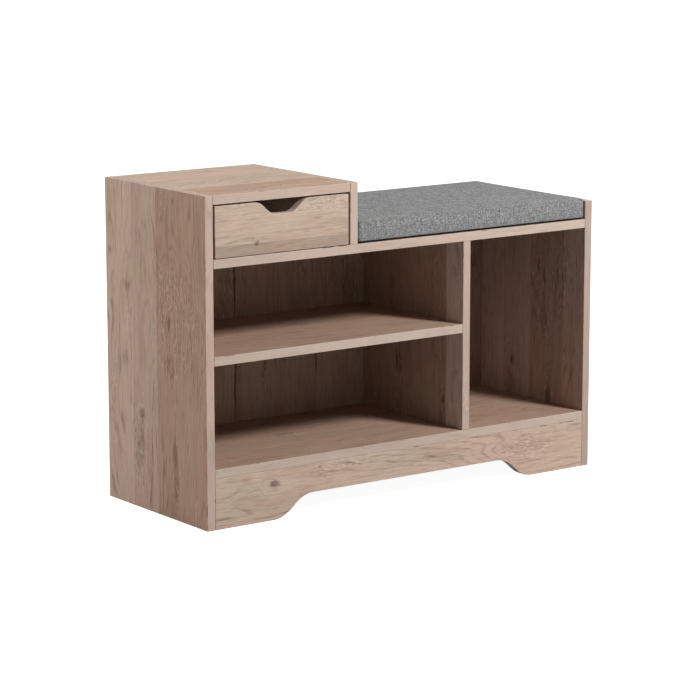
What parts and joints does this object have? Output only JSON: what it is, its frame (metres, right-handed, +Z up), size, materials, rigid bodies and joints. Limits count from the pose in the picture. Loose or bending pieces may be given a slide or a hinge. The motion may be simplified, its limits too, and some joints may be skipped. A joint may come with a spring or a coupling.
{
  "type": "entryway bench",
  "caption": "Open shoe-storage bench in weathered oak laminate with a raised drawer tower at the left end, a loose grey seat cushion and an arched front apron.",
  "frame": {"origin": "on the floor under the middle of the footprint", "axes": "+X along the bench to the right seen from the front, +Y towards the back, +Z up; the drawer tower is at -X"},
  "size_m": [0.8, 0.3, 0.54],
  "materials": {
    "oak_board": "matte",
    "back_panel": "matte",
    "drawer_board": "matte",
    "runner_steel": "satin",
    "roller_nylon": "matte",
    "pin_steel": "satin",
    "cam_zinc": "satin",
    "bolt_steel": "satin",
    "cushion_linen": "matte",
    "cushion_foam": "matte",
    "zip_tape": "matte"
  },
  "bodies": {
    "bench": {"left_side_panel": "oak_board", "right_side_panel": "oak_board", "tower_top_panel": "oak_board", "tower_side_panel": "oak_board", "seat_board": "oak_board", "centre_divider": "oak_board", "middle_shelf": "oak_board", "bottom_shelf": "oak_board", "front_apron": "oak_board", "rear_rail": "oak_board", "lower_back_panel": "back_panel", "tower_back_panel": "back_panel", "left_cabinet_rail": "runner_steel", "right_cabinet_rail": "runner_steel", "left_cabinet_roller_pin": "pin_steel", "right_cabinet_roller_pin": "pin_steel", "seat_left_front_cam": "cam_zinc", "seat_left_rear_cam": "cam_zinc", "seat_right_front_cam": "cam_zinc", "seat_right_rear_cam": "cam_zinc", "bottom_left_front_cam": "cam_zinc", "bottom_left_rear_cam": "cam_zinc", "bottom_right_front_cam": "cam_zinc", "bottom_right_rear_cam": "cam_zinc", "tower_left_front_cam": "cam_zinc", "tower_left_rear_cam": "cam_zinc", "tower_right_front_cam": "cam_zinc", "tower_right_rear_cam": "cam_zinc", "seat_left_front_cam_bolt": "bolt_steel", "seat_left_rear_cam_bolt": "bolt_steel", "seat_right_front_cam_bolt": "bolt_steel", "seat_right_rear_cam_bolt": "bolt_steel", "bottom_left_front_cam_bolt": "bolt_steel", "bottom_left_rear_cam_bolt": "bolt_steel", "bottom_right_front_cam_bolt": "bolt_steel", "bottom_right_rear_cam_bolt": "bolt_steel", "tower_left_front_cam_bolt": "bolt_steel", "tower_left_rear_cam_bolt": "bolt_steel", "tower_right_front_cam_bolt": "bolt_steel", "tower_right_rear_cam_bolt": "bolt_steel"},
    "drawer": {"drawer_front": "oak_board", "drawer_left_side": "drawer_board", "drawer_right_side": "drawer_board", "drawer_back": "drawer_board", "drawer_bottom": "back_panel", "left_drawer_rail": "runner_steel", "right_drawer_rail": "runner_steel", "left_drawer_roller_pin": "pin_steel", "right_drawer_roller_pin": "pin_steel", "drawer_left_cam": "cam_zinc", "drawer_right_cam": "cam_zinc", "drawer_left_cam_bolt": "bolt_steel", "drawer_right_cam_bolt": "bolt_steel"},
    "cushion": {"cushion_cover": "cushion_linen", "cushion_foam": "cushion_foam", "cushion_zip": "zip_tape"},
    "left_cabinet_roller": {"left_cabinet_roller": "roller_nylon"},
    "right_cabinet_roller": {"right_cabinet_roller": "roller_nylon"},
    "left_drawer_roller": {"left_drawer_roller": "roller_nylon"},
    "right_drawer_roller": {"right_drawer_roller": "roller_nylon"}
  },
  "joints": [
    {"name": "drawer_slide", "type": "slide", "parent": "bench", "child": "drawer", "axis": [0, -1, 0], "range_m": [0, 0.185]},
    {"name": "cushion_lift", "type": "slide", "parent": "bench", "child": "cushion", "axis": [0, 0, 1], "range_m": [0, 0.12]},
    {"name": "left_cabinet_roller_spin", "type": "hinge", "parent": "bench", "child": "left_cabinet_roller", "pos_m": [-0.38, -0.123, 0.4515], "axis": [1, 0, 0], "continuous": true},
    {"name": "right_cabinet_roller_spin", "type": "hinge", "parent": "bench", "child": "right_cabinet_roller", "pos_m": [-0.123, -0.123, 0.4515], "axis": [1, 0, 0], "continuous": true},
    {"name": "left_drawer_roller_spin", "type": "hinge", "parent": "drawer", "child": "left_drawer_roller", "pos_m": [-0.3775, 0.105, 0.4515], "axis": [1, 0, 0], "continuous": true},
    {"name": "right_drawer_roller_spin", "type": "hinge", "parent": "drawer", "child": "right_drawer_roller", "pos_m": [-0.1255, 0.105, 0.4515], "axis": [1, 0, 0], "continuous": true}
  ],
  "couplings": [
    {"joint": "left_cabinet_roller_spin", "follows": "drawer_slide", "rad_per_m": 111.11},
    {"joint": "right_cabinet_roller_spin", "follows": "drawer_slide", "rad_per_m": 111.11},
    {"joint": "left_drawer_roller_spin", "follows": "drawer_slide", "rad_per_m": 111.11},
    {"joint": "right_drawer_roller_spin", "follows": "drawer_slide", "rad_per_m": 111.11}
  ]
}
